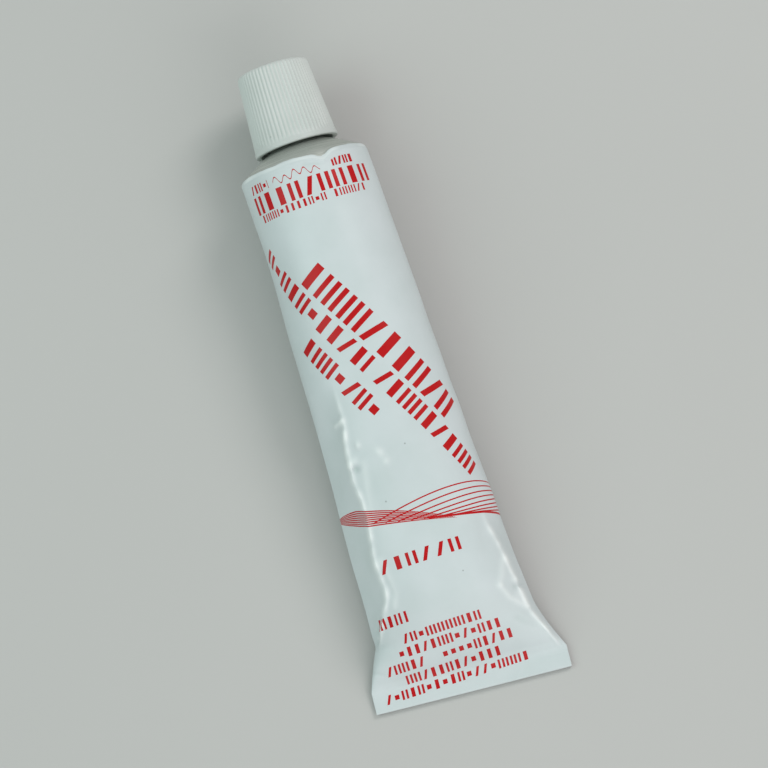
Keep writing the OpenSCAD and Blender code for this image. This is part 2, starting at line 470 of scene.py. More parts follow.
# %% Points of the sleeve
def sleeve_rows(u, angle):
    """Sections of the sleeve: u as a column of distances, angle as a row of angles round it."""
    cos = np.cos(angle)
    left = cos < 0
    front = np.sin(angle) >= 0
    w = np.where(left, half_width(u, LEFT_FLARE, 1), half_width(u, RIGHT_FLARE, RIGHT_FLARE_RATE))
    x = w * cos
    splay = clamp01((u - FOLD_START + LEFT_FLARE) / LEFT_FLARE)
    lift = (FOLD_T - LAYER_T) * smooth(splay)
    flat = smooth((u - FOLD_START + LEFT_FLARE) / LEFT_FLARE)
    roundness = mix(mix(1.0, BELLY_ROUND, smooth(u / LEFT_CREASE_START)), TAIL_ROUND, flat)
    depth = np.minimum(axis_height(u), TUBE_R)
    side = np.minimum(depth, (crest_height(u) + lift) / 2)
    over_side, bead = buckled_front(u, x, w, left, crest_height(u) - side, roundness)
    front_h = side + over_side + bead
    back_h = side - arch(x, w, side - lift, roundness)

    skewing = smooth((u - FOLD_START + CLOSE_LEN) / CLOSE_LEN)
    v = u + skewing * x * math.tan(TAIL_SKEW)
    x_out = x + skewing * FOLD_W * math.sin(TAIL_SKEW) + bow(u)
    base = np.where(front | (u > SKIRT), axis_height(v), depth + v - u)
    z = np.where(front, front_h, back_h) - np.minimum(base, axis_height(np.maximum(v, SKIRT)))
    return np.stack([x_out, -v, z], axis=-1), v, bead * front


right_most = sleeve_rows(np.array([[60.0]]), np.zeros(1))[0][0, 0]
print("right edge at 60 mm", [round(float(c), 2) for c in right_most], "mm")

# %% [markdown]
# ## Dents, wrinkles and unevenness
# Nothing on a soft tube is perfectly even. Three things are added along the surface's normal: a
# very shallow, seeded unevenness of the whole wall, the dents that can be seen one by one, each
# with its own place, size, direction and depth, and the fine wrinkles that branch off the
# creases. A wrinkle is a short path on the wall. Last, the rounded edge of the shoulder has been
# knocked back towards the tail, right of the middle. The tables come first. A height or depth
# below zero turns a dent into a bump or a wrinkle into a groove.

# %% Tables of dents and wrinkles
# Distance from the shoulder, x on the front, half length along, half length across, turn, depth
DENTS = [
    (3.4, -1.5, 2.2, 5.5, 8, 0.16),
    (12.0, 2.9, 3.5, 5.0, 0, 0.12),
    (21.0, -14.6, 10.0, 4.5, 0, 0.50),
    (31.0, 9.0, 9.0, 3.0, -6, 0.12),
    (44.0, -4.0, 7.0, 4.0, 12, 0.12),
    (60.0, -12.4, 6.0, 1.6, 0, 0.12),
    (65.9, -7.9, 0.8, 0.6, 0, -0.32),
    (69.1, -9.9, 1.0, 0.8, 0, -0.26),
    (70.8, -10.4, 0.8, 1.0, 0, 0.42),
    (68.9, -3.8, 1.2, 0.8, 25, -0.30),
    (71.3, -3.0, 0.8, 0.8, 0, -0.24),
    (71.5, -0.4, 3.0, 2.6, 0, 0.15),
    (65.5, -4.6, 2.6, 1.6, 30, 0.13),
    (78.0, -7.6, 8.0, 1.6, 5, 0.16),
    (88.0, 3.0, 8.0, 6.0, 10, 0.12),
    (96.0, -8.0, 3.0, 2.0, 20, 0.14),
    (99.0, -10.9, 3.2, 1.2, 12, 0.22),
    (103.6, -14.9, 2.0, 1.4, -40, -0.16),
    (109.5, -17.2, 3.0, 1.0, 62, 0.30),
    (94.0, 12.6, 6.0, 1.4, -10, 0.18),
    (103.6, 15.0, 2.6, 0.9, -10, -0.12),
    (105.0, 16.1, 0.8, 0.7, 0, -0.30),
    (106.6, 16.4, 0.7, 1.0, 0, 0.45),
    (108.6, 16.2, 1.6, 1.1, -20, -0.12),
    (112.5, 12.4, 5.0, 3.2, -25, 0.18),
]

# Path as pairs of distance from the shoulder and x on the front, then half width and height
WRINKLES = [
    ([(1.8, 0.2), (2.1, 1.6), (2.2, 3.2)], 0.5, -0.16),
    ([(59.5, -9.5), (60.0, -11.3)], 0.55, 0.34),
    ([(62.0, -9.9), (66.0, -10.9), (69.5, -11.4), (71.6, -11.0)], 0.4, 0.16),
    ([(70.2, -8.0), (72.0, -8.4), (76.0, -9.1), (79.4, -9.7), (84.0, -10.7)], 0.8, 0.12),
    ([(92.0, -11.4), (96.0, -10.6), (100.0, -10.2), (102.6, -11.4)], 0.7, 0.16),
    ([(100.2, 15.0), (103.3, 13.7), (105.3, 12.6)], 0.7, 0.16),
    ([(105.3, 12.6), (108.6, 13.9), (111.6, 16.8)], 0.6, 0.24),
    ([(113.4, 14.0), (116.0, 17.0)], 0.7, -0.14),
    ([(104.0, -15.1), (106.6, -16.8), (108.0, -16.9), (109.2, -18.1)], 0.35, -0.22),
    ([(115.2, -20.6), (116.3, -18.3)], 0.3, -0.22),
]

# Where the shoulder's edge is knocked back: x, half width, depth
KNOCKS = [(4.9, 1.6, 1.25), (3.0, 3.2, 0.45), (-6.5, 2.4, 0.16)]

# Painted highlight round the shoulder's edge: place, half width, least, spread
PAINTED_EDGE_HIGHLIGHT = (-0.45, 0.5, 0.30, 0.22)
PAINTED_EDGE_HIGHLIGHT_CELL, PAINTED_EDGE_HIGHLIGHT_SEED = 4.0, 7

# Unevenness of the whole wall: height, size of a swelling, seed
UNEVEN = [(0.13, 15.0, 11), (0.065, 7.0, 5)]

# Dents with a shorter half length than this also get painted highlight on a bump, painted shade with some
# dirt in a dimple
SMALL_DENT = 1.8
print("dents", len(DENTS), "wrinkles", len(WRINKLES), "knocks", len(KNOCKS))

# %% [markdown]
# The unevenness is a table of seeded random heights, one for each cell of the wall, with smooth
# steps between them. The table is as many cells wide as fit round the tube, and its last cell
# meets the first, so no seam shows on the back.

# %% Soft noise on the wall
def soft_noise(u, q, cell, seed):
    """Smooth random heights with the given cell size, the same on both sides of the seam."""
    girth = math.tau * TUBE_R
    cells_round = max(3, round(girth / cell))
    table = np.random.default_rng(seed).normal(size=(64, cells_round))
    along_cells = (u + 20) / cell
    round_cells = (q / girth) % 1.0 * cells_round
    i, j = np.floor(along_cells).astype(int), np.floor(round_cells).astype(int)
    s, t = smooth(along_cells - i), smooth(round_cells - j)
    k = (j + 1) % cells_round
    j = j % cells_round
    return mix(mix(table[i, j], table[i, k], t), mix(table[i + 1, j], table[i + 1, k], t), s)


noise_along = soft_noise(np.arange(0.0, 120.0), np.zeros(120), 15.0, 11)
print("soft noise along the front, spread", round(float(np.std(noise_along)), 2))

# %% [markdown]
# Each table becomes a height for every point of the wall at once. A dent is a bell over an oval,
# a wrinkle a ridge of bell section along its path, and a knock a shift along the tube that only
# the shoulder's edge takes part in. All of them stay on the front: the back can't be seen in the
# photograph, so it is left plain. A sculpt brush could press them too, but a table can be checked
# against a ruler and changed one dent at a time.

# %% Heights from the tables
def dent_depth(u, x, front, dents):
    total = np.zeros(np.broadcast(u, x).shape)
    for place_u, place_x, half_u, half_x, turn, depth in dents:
        c, s = math.cos(math.radians(turn)), math.sin(math.radians(turn))
        du, dx = u - place_u, x - place_x
        far = ((du * c + dx * s) / half_u) ** 2 + ((dx * c - du * s) / half_x) ** 2
        total += depth * np.exp(-far)
    return total * front


def wrinkle_height(u, x, front):
    total = np.zeros(np.broadcast(u, x).shape)
    for path, half_width_mm, height in WRINKLES:
        nearest = np.full(total.shape, 100.0)
        for (u0, x0), (u1, x1) in zip(path, path[1:]):
            share = ((u - u0) * (u1 - u0) + (x - x0) * (x1 - x0)) / ((u1 - u0) ** 2 + (x1 - x0) ** 2)
            share = clamp01(share)
            nearest = np.minimum(nearest, np.hypot(u - mix(u0, u1, share), x - mix(x0, x1, share)))
        total += height * np.exp(-((nearest / half_width_mm) ** 2))
    return total * front


def knock_back(u, x, front):
    total = sum(depth * np.exp(-(((x - place) / half) ** 2)) for place, half, depth in KNOCKS)
    return total * smooth((u + 2.6) / 2.2) * smooth((5.0 - u) / 4.5) * front


print("deepest dent alone", round(float(dent_depth(21.0, -14.6, 1.0, DENTS[2:3])), 2), "mm")

# %% [markdown]
# A dent goes in along the surface's own normal, because the wall curves round to the sides. The
# normal comes from the neighbours: the step round the tube crossed with the step along it.

# %% Pushing the wall in
def push_in(rows, depth):
    """Moves a closed grid of points inwards along its own normals."""
    round_step = np.roll(rows, -1, axis=1) - np.roll(rows, 1, axis=1)
    down_step = np.gradient(rows, axis=0)
    normal = np.cross(round_step, down_step)
    normal /= np.maximum(np.linalg.norm(normal, axis=-1, keepdims=True), 1e-9)
    return rows - normal * depth[..., None]


turn = np.radians(np.arange(0, 360, 10))
ring = np.stack([np.cos(turn), np.zeros(len(turn)), np.sin(turn)], axis=-1)
pushed = push_in(np.stack([ring, ring - [0, 1, 0]]), np.full((2, len(turn)), 0.1))
print("a round wall of radius 1, pushed in by 0.1, has radius", round(float(pushed[0, 0, 0]), 2))

# %% [markdown]
# ## The tube as one piece
# The real tube is punched out of one slug of aluminium, so it is also one mesh here. Its rows
# start at the sealed mouth, run down the neck, over the cone of the shoulder and round its edge,
# follow the sleeve, and end by going twice round the fold: along the top layer, back under it and
# out again. Because the fold is made of the same rows, its end shows the real layers. Separate
# shapes joined by a Boolean would leave a visible seam at the shoulder and at the fold.

# %% Sizes of neck and cone
NECK_R, ROOT_R, EDGE_R = 5.0, 0.8, 1.5
SOCKET_DEPTH, DISC_T, DISC_CLEAR = 11.0, 1.0, 0.05
MOUTH_R, MOUTH_DEPTH, LIP_R, POLE_R = 3.2, 0.8, 0.25, 0.4
NECK_TOP = CAP_RIM_Y + SOCKET_DEPTH - DISC_T - 2 * DISC_CLEAR
CONE_TOP = (TUBE_R - NECK_R) * math.tan(SLOPE)
ROOT_RUN = ROOT_R * math.tan((math.pi / 2 - SLOPE) / 2)
EDGE_RUN = EDGE_R * math.tan((math.pi / 2 - SLOPE) / 2)
print("neck ends", round(NECK_TOP, 2), "mm above the shoulder's edge, cone", round(CONE_TOP, 2), "mm")

# %% [markdown]
# From the mouth to the shoulder's edge the tube is round, so these rows are one profile of
# radius and height, made of lines and arcs, and turned round the axis.

# %% Rows of the tube
COLUMNS = 256
MOUTH_FLOOR = NECK_TOP - MOUTH_DEPTH
turned = np.concatenate([
    line((POLE_R, MOUTH_FLOOR), (MOUTH_R - LIP_R, MOUTH_FLOOR), 5),
    arc((MOUTH_R - LIP_R, MOUTH_FLOOR + LIP_R), LIP_R, -90, 0, 4),
    line((MOUTH_R, MOUTH_FLOOR + LIP_R), (MOUTH_R, NECK_TOP - LIP_R), 2),
    arc((MOUTH_R + LIP_R, NECK_TOP - LIP_R), LIP_R, 180, 90, 4),
    line((MOUTH_R + LIP_R, NECK_TOP), (NECK_R - LIP_R, NECK_TOP), 4),
    arc((NECK_R - LIP_R, NECK_TOP - LIP_R), LIP_R, 90, 0, 4),
    line((NECK_R, NECK_TOP - LIP_R), (NECK_R, CONE_TOP + ROOT_RUN), 50),
    arc((NECK_R + ROOT_R, CONE_TOP + ROOT_RUN), ROOT_R, 180, 240, 5),
    line((NECK_R + ROOT_R * (1 - math.sin(SLOPE)), CONE_TOP + ROOT_RUN - ROOT_R * math.cos(SLOPE)),
         (TUBE_R - EDGE_R * (1 - math.sin(SLOPE)), -EDGE_RUN + EDGE_R * math.cos(SLOPE)), 14),
    arc((TUBE_R - EDGE_R, -EDGE_RUN), EDGE_R, 60, 0, 9),
])
angle = np.radians(-90 + 360 * np.arange(COLUMNS) / COLUMNS)
turned_rows = np.stack([
    turned[:, :1] * np.cos(angle),
    np.repeat(turned[:, 1:], COLUMNS, axis=1),
    turned[:, :1] * np.sin(angle),
], axis=-1)

sleeve_u = np.concatenate([
    line([EDGE_RUN], [6.0], 22), line([6.0], [58.0], 56), line([58.0], [112.0], 124),
    line([112.0], [FOLD_START - 0.1], 24),
])
sleeve_points, sleeve_v, sleeve_bead = sleeve_rows(sleeve_u, angle)
print("turned rows", len(turned_rows), "sleeve rows", len(sleeve_points))

# %% [markdown]
# The fold is described over the floor, because the folded strip lies flat on it. A path of
# straight stretches and half circles runs through the middle of the sheet, and the front and
# back of the flattened sleeve lie half a sheet on either side.

# %% Path of the folded sheet
STEP = 0.4
BEND = STEP / 2
TUCK = 0.2
TOP_STEPS = 12
tail_y = (Vector((0, -BODY_LEN, -FOLD_T / 2)) @ Matrix(TUBE_AXES.tolist()) + edge_centre).y
inner_y, outer_y = FOLD_W - BEND - LAYER_T / 2, BEND + LAYER_T / 2
level = [LAYER_T / 2 + STEP * k for k in range(3)]
fold_path = np.concatenate([
    line((FOLD_W, level[2]), (outer_y, level[2]), TOP_STEPS),
    arc((outer_y, level[2] - BEND), BEND, 90, 270, 8),
    line((outer_y, level[1]), (inner_y, level[1]), 9),
    arc((inner_y, level[0] + BEND), BEND, 90, -90, 8),
    line((inner_y, level[0]), (outer_y - TUCK, level[0]), 10),
    [[outer_y - TUCK, level[0]]],
])
fold_len = np.concatenate([[0], np.cumsum(np.linalg.norm(np.diff(fold_path, axis=0), axis=1))])
print("rows of the fold", len(fold_path), "sheet length in it", round(float(fold_len[-1]), 1), "mm")

# %% [markdown]
# The sheet gets its thickness at right angles to the path, thinning out at both edges, where
# front and back meet. The top layer also keeps the last of the front's height, so that the
# sleeve runs into it without a step. Last, the strip is turned by the lean of the fold's line.

# %% Rows of the fold
heading = np.gradient(fold_path, axis=0)
heading /= np.linalg.norm(heading, axis=1, keepdims=True)
outward = np.stack([heading[:, 1], -heading[:, 0]], axis=1)
fold_x = TAIL_HALF * np.cos(angle) + bow(FOLD_START)
edge_taper = np.maximum(0, 1 - np.cos(angle) ** 2) ** (TAIL_ROUND / 2)
half_sheet = LAYER_T / 2 * edge_taper * np.sign(np.sin(angle))
strip_y = fold_path[:, :1] + outward[:, :1] * half_sheet
strip_z = fold_path[:, 1:] + outward[:, 1:] * half_sheet
top_layer = np.arange(len(fold_path))[:, None] < TOP_STEPS
rise = crest_height(FOLD_START + FOLD_W - fold_path[:, :1]) - FOLD_T
strip_z = strip_z + rise * top_layer * (1 + np.sign(np.sin(angle)) * edge_taper) / 2
fold_rows = to_tube(np.stack([
    fold_x * math.cos(TAIL_SKEW) + strip_y * math.sin(TAIL_SKEW),
    tail_y - fold_x * math.sin(TAIL_SKEW) + strip_y * math.cos(TAIL_SKEW),
    strip_z,
], axis=-1))
fold_v = FOLD_START + fold_len[:, None] + fold_x * math.tan(TAIL_SKEW)
print("the fold's highest point is", round(float(strip_z.max()), 2), "mm over the floor")

# %% [markdown]
# With all rows in one grid, the sheet coordinates follow: q is the distance round the wall from
# the middle of the front, and v the distance from the shoulder's edge.

# %% Sheet coordinates of the tube
rows = np.concatenate([turned_rows, sleeve_points, fold_rows])
turned_len = np.concatenate([[0], np.cumsum(np.linalg.norm(np.diff(turned, axis=0), axis=1))])
turned_v = (turned_len - turned_len[-1])[:, None] + np.zeros(COLUMNS)
sheet_v = np.concatenate([turned_v, sleeve_v, fold_v])
sheet_v = np.concatenate([sheet_v, sheet_v[:, :1]], axis=1)

front_column = COLUMNS // 2
ring_step = np.linalg.norm(np.roll(rows, -1, axis=1) - rows, axis=-1)
round_len = np.concatenate([np.zeros((len(rows), 1)), np.cumsum(ring_step, axis=1)], axis=1)
sheet_q = round_len[:, front_column:front_column + 1] - round_len
sheet_q[: len(turned)] = TUBE_R * (math.pi / 2 - np.append(angle, angle[0] + math.tau))
print("girth of the sheet", round(float(np.ptp(sheet_q[len(turned)])), 1), "mm")

# %% [markdown]
# Dents and wrinkles are pressed in last, because they need the finished surface's normals. They
# fade out towards the fold, and the unevenness also towards the floor, so that the tube still
# rests on it. What stands proud or lies deep is kept as the attribute relief, from which the
# material paints highlight and shade; a band of painted highlight round the shoulder's edge is
# added to it too.

# %% Pressing in the dents
wall_u, wall_q = sheet_v[:, :-1], sheet_q[:, :-1]
on_sleeve = smooth((wall_u + 2.5) / 3) * smooth((FOLD_START - 1 - wall_u) / 8)
front_side = smooth(np.sin(angle) * 2 + 0.5)
above_floor = (rows @ TUBE_AXES)[..., 2] + edge_centre.z
uneven = sum(height * soft_noise(wall_u, wall_q, cell, seed) for height, cell, seed in UNEVEN)
uneven *= smooth(wall_u / 8) * smooth((above_floor - 0.2) / 4)
wall_x = rows[..., 0]
wrinkles = wrinkle_height(wall_u, wall_x, front_side) * on_sleeve
dents = dent_depth(wall_u, wall_x, front_side, DENTS) * on_sleeve
small_dents = dent_depth(wall_u, wall_x, front_side, [dent for dent in DENTS if dent[2] < SMALL_DENT])
# relief above zero is painted as highlight in the material, below zero as shade with some dirt
relief = wrinkles - small_dents * on_sleeve
relief[len(turned):len(turned) + len(sleeve_bead)] += sleeve_bead
# Painted highlight: a band round the shoulder's edge, added to relief only for its colour
highlight_v, highlight_half, highlight_least, highlight_spread = PAINTED_EDGE_HIGHLIGHT
highlight_noise = soft_noise(wall_u, wall_q, PAINTED_EDGE_HIGHLIGHT_CELL, PAINTED_EDGE_HIGHLIGHT_SEED)
edge_highlight = clamp01(highlight_least + highlight_spread * highlight_noise)
relief += edge_highlight * np.exp(-(((wall_u - highlight_v) / highlight_half) ** 2)) * front_side
rows = push_in(rows, dents - wrinkles + uneven * on_sleeve)
rows[..., 1] -= knock_back(wall_u, wall_x, front_side)
print("relief from", round(float(relief.min()), 2), "to", round(float(relief.max()), 2), "mm")

# %% [markdown]
# One attribute more says where the neck carries its thread, and all of it becomes a mesh.

# %% The tube's mesh
THREAD_FROM, THREAD_TO, THREAD_FADE = 7.0, 13.2, 1.0
neck_part = smooth((turned[:, 1] - THREAD_FROM) / THREAD_FADE)
neck_part *= smooth((THREAD_TO - turned[:, 1]) / THREAD_FADE) * (turned[:, 0] > NECK_R - 0.01)
thread_share = np.zeros(wall_u.shape)
thread_share[: len(turned)] = neck_part[:, None]
tube = mesh_from_rows("tube_body", rows, sheet_q, sheet_v, {"thread_share": thread_share, "relief": relief})
print("tube: faces", len(tube.data.polygons), "volume", round(volume_ml(tube), 1), "ml")

# %% [markdown]
# ## Threads and flutes with Geometry Nodes
# Two things on this object repeat by a rule round an axis: the screw thread and the cap's
# flutes. Both are made the same way. A node tree reads each point's angle and height, works out
# how far the point should move in or out, and moves it. Cutting the flutes with Booleans, or adding
# the thread with a Screw modifier, would leave overlapping or broken faces. Here the mesh stays
# closed, and count, depth and pitch are named inputs. An attribute says where the rule applies.

# %% Node trees that move points in or out
def radial_tree(name, input_names, rule):
    """A tree that moves points off the y axis by the distance that rule returns."""
    tree = bpy.data.node_groups.new(name, "GeometryNodeTree")
    tree.interface.new_socket("Geometry", in_out="INPUT", socket_type="NodeSocketGeometry")
    for input_name in input_names:
        tree.interface.new_socket(input_name, in_out="INPUT", socket_type="NodeSocketFloat")
    tree.interface.new_socket("Finish", in_out="INPUT", socket_type="NodeSocketMaterial")
    tree.interface.new_socket("Geometry", in_out="OUTPUT", socket_type="NodeSocketGeometry")
    start = Wire.node(tree, "NodeGroupInput", output="Geometry")
    place = Wire.node(tree, "GeometryNodeInputPosition")
    x = Wire.node(tree, "ShaderNodeSeparateXYZ", inputs={0: place})
    y, z = x.also("Y"), x.also("Z")
    turn = z.math("ARCTAN2", x)
    share = Wire.node(tree, "GeometryNodeInputNamedAttribute", {"data_type": "FLOAT"},
                      {"Name": name + "_share"})
    distance, pattern = rule(turn, y, share, start.also)
    flat = Wire.node(tree, "ShaderNodeCombineXYZ", inputs={"X": x, "Z": z})
    outwards = Wire.node(tree, "ShaderNodeVectorMath", {"operation": "NORMALIZE"}, {0: flat})
    offset = Wire.node(tree, "ShaderNodeVectorMath", {"operation": "SCALE"},
                       {0: outwards, "Scale": distance})
    moved = Wire.node(tree, "GeometryNodeSetPosition", inputs={"Geometry": start, "Offset": offset})
    stored = Wire.node(tree, "GeometryNodeStoreNamedAttribute", {"data_type": "FLOAT"},
                       {"Geometry": moved, "Name": name + "_pattern", "Value": pattern})
    real = Wire.node(tree, "GeometryNodeRealizeInstances", inputs={"Geometry": stored})
    dressed = Wire.node(tree, "GeometryNodeSetMaterial",
                        inputs={"Geometry": real, "Material": start.also("Finish")})
    Wire.node(tree, "NodeGroupOutput", inputs={"Geometry": dressed}, output=None)
    return tree


print("node trees so far", len(bpy.data.node_groups))

# %% [markdown]
# A tree works through a modifier, whose inputs are set by the sockets' identifiers. The result
# is then read back as a plain mesh and the modifier removed, so that nothing live is left on the
# piece that later steps would have to work out again.

# %% Running a tree on a piece
def apply_tree(piece, tree, finish, values):
    """Runs the tree on the piece and keeps the result as a plain mesh."""
    modifier = piece.modifiers.new(tree.name, "NODES")
    modifier.node_group = tree
    for item in tree.interface.items_tree:
        if item.in_out == "INPUT" and item.name in values:
            modifier[item.identifier] = float(values[item.name])
        if item.in_out == "INPUT" and item.name == "Finish":
            modifier[item.identifier] = finish
    depsgraph = bpy.context.evaluated_depsgraph_get()
    shaped = piece.evaluated_get(depsgraph)
    mesh = bpy.data.meshes.new_from_object(shaped, preserve_all_data_layers=True, depsgraph=depsgraph)
    piece.modifiers.remove(modifier)
    piece.data = mesh


print("modifiers on the tube before its thread", len(tube.modifiers))

# %% [markdown]
# A right-hand thread climbs while it turns, so points with the same value of height / pitch plus
# turn / full turn lie on one helix. The ridge is a trapezoid of that value. The neck's ridge
# points out and the cap's points in, half a pitch apart, so that one runs in the other's groove.

# %% The thread rule
def thread_rule(turn, y, share, given):
    pitch = given("Pitch")
    phase = (y / pitch + turn / math.tau + given("Phase")).math("FRACT")
    from_crest = abs(phase - 0.5) * pitch
    ridge = held01((given("Foot width") / 2 - from_crest) / given("Flank"))
    pattern = ridge * share
    return pattern * given("Height"), pattern


thread_tree = radial_tree("thread", ["Pitch", "Phase", "Foot width", "Flank", "Height"], thread_rule)
THREAD_PITCH, THREAD_HEIGHT, THREAD_FOOT, THREAD_FLANK = 2.5, 0.6, 1.3, 0.42


def thread_values(height, phase):
    return {"Pitch": THREAD_PITCH, "Phase": phase, "Foot width": THREAD_FOOT, "Flank": THREAD_FLANK,
            "Height": height}


print("nodes in the thread's tree", len(thread_tree.nodes))

# %% [markdown]
# Flutes are the shallow grooves that give the fingers a grip. A raised cosine gives each groove,
# and a power makes the grooves narrower than the ribs between them.

# %% The flute rule
def flute_rule(turn, y, share, given):
    wave = (turn * given("Count")).math("COSINE") * 0.5 + 0.5
    pattern = wave ** given("Sharpness") * share
    return pattern * given("Depth") * -1.0, pattern


flute_tree = radial_tree("flute", ["Count", "Sharpness", "Depth"], flute_rule)
FLUTE_COUNT, FLUTE_SHARPNESS, FLUTE_DEPTH = 58, 1.7, 0.24
print("flutes", FLUTE_COUNT, "one every", round(360 / FLUTE_COUNT, 2), "degrees")

# %% [markdown]
# ## Lacquer, print and bare metal
# The tube carries one material. White gloss lacquer covers the sleeve and ends in a wavy line on
# the shoulder's edge, where the bare, spun aluminium begins. Real tubes are printed flat round
# their girth, so the print is laid out in the sheet's millimetres. It carries no words: rows of
# plain marks stand where lines of print would be, in the same red, size and direction. A mark is
# a bar, two thin bars, a slanted bar or a small square, and a seeded noise picks one for each cell.
# An image texture could hold such a print, but a mask worked out by nodes is sharp at any size.

# %% Rows of plain marks
# The throw from which a mark is two bars, a slanted bar or a square instead of one bar
TWO_FROM, SLANTED_FROM, SQUARE_FROM = 0.25, 0.65, 0.82
# How far the two bars stand off the middle, the slanted bar's run, and the square's side
TWO_OFF, SLANTED_RUN, SQUARE_SIDE = 0.26, 0.4, 0.55


def marks(run, rise, height, pitch, thick, seed, gaps):
    """Marks along run, in mm, where rise goes from -0.5 to 0.5 over the row's height."""
    cell = (run / pitch).math("FLOOR")
    across = run / pitch - cell - 0.5
    dice = Wire.node(run.tree, "ShaderNodeTexWhiteNoise", {"noise_dimensions": "1D"},
                     {"W": cell + seed}, output="Color")
    kind = Wire.node(run.tree, "ShaderNodeSeparateColor", inputs={0: dice})
    gap = kind.also("Green") < gaps
    one_bar = abs(across)
    two_bars = abs(one_bar - TWO_OFF)
    slanted = abs(across - rise * SLANTED_RUN)
    off = mix(mix(one_bar * 0.6, two_bars, kind > TWO_FROM), slanted * 0.85, kind > SLANTED_FROM)
    bar = off < thick / pitch / 2
    side = SQUARE_SIDE * pitch
    square = (one_bar < side / pitch / 2) * (abs(rise) < side / height / 2)
    return mix(bar, square, kind > SQUARE_FROM) * (abs(rise) < 0.5) * (1 - gap)


def mark_row(q, v, foot, turn_deg, length, height, pitch, thick, seed, gaps=0.0):
    """Mask of a row of marks that starts at foot and runs in the direction turn_deg on the sheet."""
    c, s = math.cos(math.radians(turn_deg)), math.sin(math.radians(turn_deg))
    dq, dv = q - foot[0], v - foot[1]
    run = dq * c + dv * s
    rise = (dq * s - dv * c) / height - 0.5
    return marks(run, rise, height, pitch, thick, seed, gaps) * (run > 0) * (run < length)


print("one mark in", round(1 / (1 - SQUARE_FROM), 1), "is a square")

# %% [markdown]
# The rows' places are in millimetres on the unrolled sheet. Near the shoulder a large row has two
# small ones over it and one under it, four slanting rows cross the middle, and two short ones
# stand towards the folded end.

# %% Table of single rows
# Each row: foot (q, v) on the sheet in mm, turn, length, height, pitch, bar, seed
SLANT = 59.6
PRINT_ROWS = [
    ((-16.0, 4.2), 0, 6.3, 2.0, 1.5, 0.42, 3),
    ((6.3, 4.1), 0, 6.0, 1.9, 1.5, 0.5, 9),
    ((-16.4, 9.0), 0, 32.6, 4.1, 3.6, 0.95, 26),
    ((-15.2, 11.1), 0, 28.0, 1.75, 1.5, 0.36, 33, 0.06),
    ((-10.2, 26.2), SLANT, 46.5, 6.4, 4.65, 1.25, 46),
    ((-21.0, 18.6), SLANT, 37.8, 4.4, 3.6, 1.0, 57),
    ((-0.8, 53.0), SLANT, 31.5, 4.4, 3.5, 1.0, 65),
    ((-15.7, 41.0), SLANT, 24.5, 4.4, 3.5, 1.0, 71),
    ((-12.9, 95.2), 0, 20.3, 3.0, 3.4, 0.8, 90),
    ((-19.2, 106.8), 0, 9.6, 2.5, 2.1, 0.55, 97),
]
print("single rows of marks", len(PRINT_ROWS))

# %% [markdown]
# The five lines near the fold are centred under each other. They share one set of marks: the
# row's number comes from v, a ramp with constant steps gives each row its half length, and the
# same number shifts the seed, so that no two rows are alike.

# %% The centred rows
BLOCK_MIDDLE, BLOCK_TOP, BLOCK_STEP = -3.0, 109.1, 2.95
BLOCK_H, BLOCK_PITCH, BLOCK_BAR, BLOCK_SEED = 2.1, 1.9, 0.52, 201
BLOCK_HALF_CELLS = [5, 7, 8, 6, 9]


def centred_rows(q, v):
    most = max(BLOCK_HALF_CELLS)
    stops = [(k / 5, cells / most) for k, cells in enumerate(BLOCK_HALF_CELLS)]
    number = (v - BLOCK_TOP) / BLOCK_STEP
    row = number.math("FLOOR")
    share = Wire.node(q.tree, "ShaderNodeValToRGB", {"stops": stops, "interpolation": "CONSTANT"},
                      {"Fac": (row + 0.5) / 5})
    half = Wire.node(q.tree, "ShaderNodeSeparateColor", inputs={0: share}) * (most * BLOCK_PITCH)
    rise = (row - number) * BLOCK_STEP / BLOCK_H + 0.5
    run = q - BLOCK_MIDDLE + 30 * BLOCK_PITCH
    mask = marks(run, rise, BLOCK_H, BLOCK_PITCH, BLOCK_BAR, row * 40 + BLOCK_SEED, gaps=0.08)
    return mask * (abs(q - BLOCK_MIDDLE) < half) * (number > 0) * (number < 5)


print("centred rows", len(BLOCK_HALF_CELLS))

# %% [markdown]
# The ornament is a ribbon of thin lines that narrows to a braid and fans out again, a common
# decoration. On the left the lines share one centre curve, and their spread closes at both ends,
# so counting spreads draws them all at once. On the right each line leaves the braid a little
# later than the one before and rises less, which a short loop draws line by line.

# %% A ribbon of thin lines
LINE_W = 0.3
LENS_LINES = 8
LENS_SPREAD = 3.4
LENS_LEFT, LENS_RIGHT = -26.5, 8.3
LENS_CLOSES_LEFT, LENS_CLOSES_RIGHT = 10, 20
LENS_MIDDLE, LENS_V, LENS_SLOPE, LENS_BEND = -5, 83.8, 0.27, 0.0045
FAN_LINES = 8
FAN_LEFT, FAN_RIGHT, FAN_STEP = -10.6, 25.0, 2.9
FAN_RISE, FAN_FALL = 7.3, 0.9
FAN_V, FAN_SLOPE, FAN_BEND = 86.0, 0.2, 0.0018


def lens_lines(q, v):
    closing_left = held01((q - LENS_LEFT) / LENS_CLOSES_LEFT) ** 0.5
    closing_right = held01((LENS_RIGHT - q) / LENS_CLOSES_RIGHT)
    spread = closing_left * closing_right * (1.6 - closing_right * 0.6) * LENS_SPREAD + 0.02
    run = q - LENS_MIDDLE
    centre = LENS_V + run * LENS_SLOPE + run ** 2 * LENS_BEND
    number = ((v - centre) / spread + 0.5) * (LENS_LINES - 1)
    step = spread / (LENS_LINES - 1)
    off = abs(number - (number + 0.5).math("FLOOR")) * step
    within = abs(number - (LENS_LINES - 1) / 2) < LENS_LINES / 2
    half_line = (step * 0.34).math("MINIMUM", LINE_W / 2)
    return (off < half_line) * within * (q > LENS_LEFT) * (q < LENS_RIGHT)


